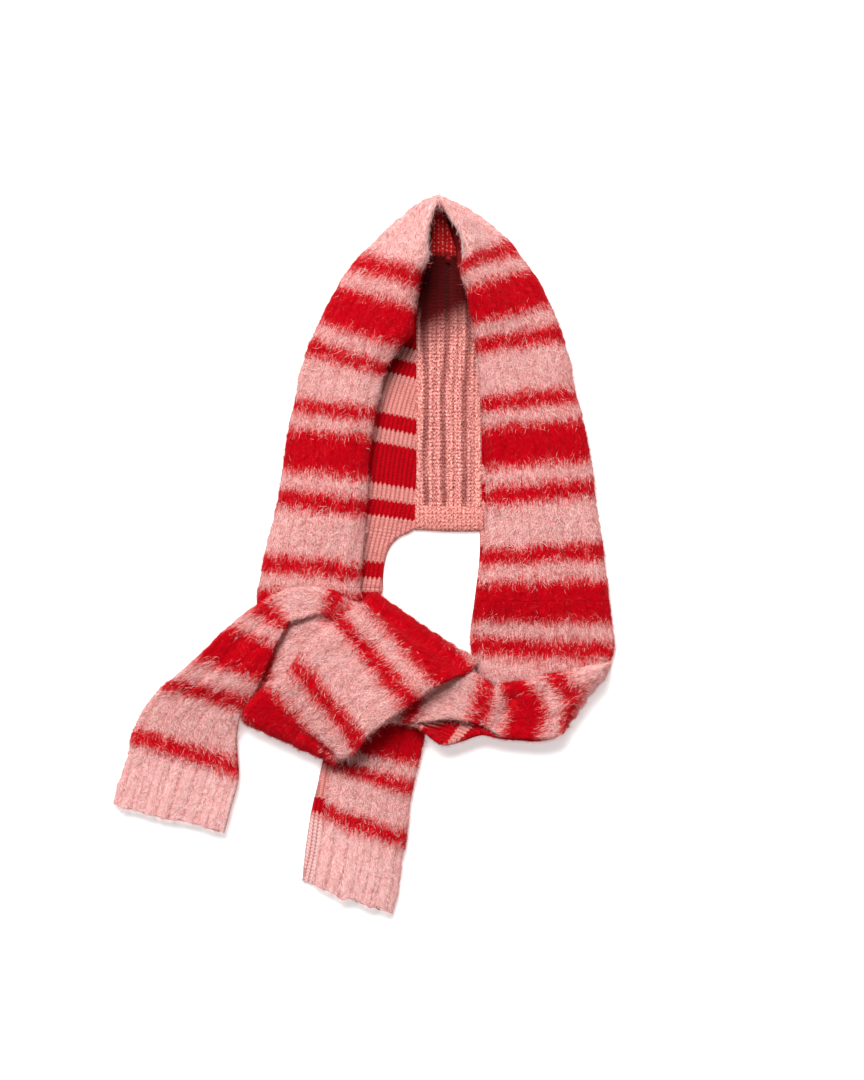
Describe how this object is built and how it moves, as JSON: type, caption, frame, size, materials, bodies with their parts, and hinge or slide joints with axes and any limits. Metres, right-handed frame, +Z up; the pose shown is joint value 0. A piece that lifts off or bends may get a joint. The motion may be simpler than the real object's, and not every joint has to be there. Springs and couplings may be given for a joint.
{
  "type": "knitted hooded scarf",
  "caption": "Brushed striped knit scarf with a hood at its middle, lying on its back with its two ribbed-cuff tails tied in a half knot at the neck.",
  "frame": {"origin": "centre of the whole scarf's outline, on the table that it lies on", "axes": "+Y from the tails up to the hood's crown, +X towards the right-hand side of the hood as seen from above, +Z up from the table, out of the face opening"},
  "size_m": [0.4968, 0.7148, 0.0687],
  "materials": {
    "striped_knit": "brushed",
    "ribbed_knit": "ribbed",
    "linked_seam": "matte"
  },
  "bodies": {
    "scarf": {"crown_band": "striped_knit", "hood_left_side": "striped_knit", "hood_right_side": "striped_knit", "left_tail_fall": "striped_knit", "knot_wrap": "striped_knit", "left_tail_lead": "striped_knit", "right_tail_fall": "striped_knit", "right_tail_turn": "striped_knit", "right_tail_pass": "striped_knit", "right_tail_bend": "striped_knit", "back_gusset": "ribbed_knit", "neck_hem": "ribbed_knit", "left_gusset_seam": "linked_seam", "crown_seam": "linked_seam", "right_gusset_seam": "linked_seam"},
    "left_tail": {"left_tail_end": "striped_knit", "left_cuff": "ribbed_knit"},
    "right_tail": {"right_tail_end": "striped_knit", "right_cuff": "ribbed_knit"}
  },
  "joints": [
    {"name": "left_tail_lift", "type": "hinge", "parent": "scarf", "child": "left_tail", "pos_m": [0.0084, -0.22797, 0.018], "axis": [-0.9971, 0.0759, 0], "range_deg": [0, 75]},
    {"name": "right_tail_lift", "type": "hinge", "parent": "scarf", "child": "right_tail", "pos_m": [-0.1761, -0.18097, 0.018], "axis": [-0.9251, 0.3798, 0], "range_deg": [0, 75]}
  ]
}
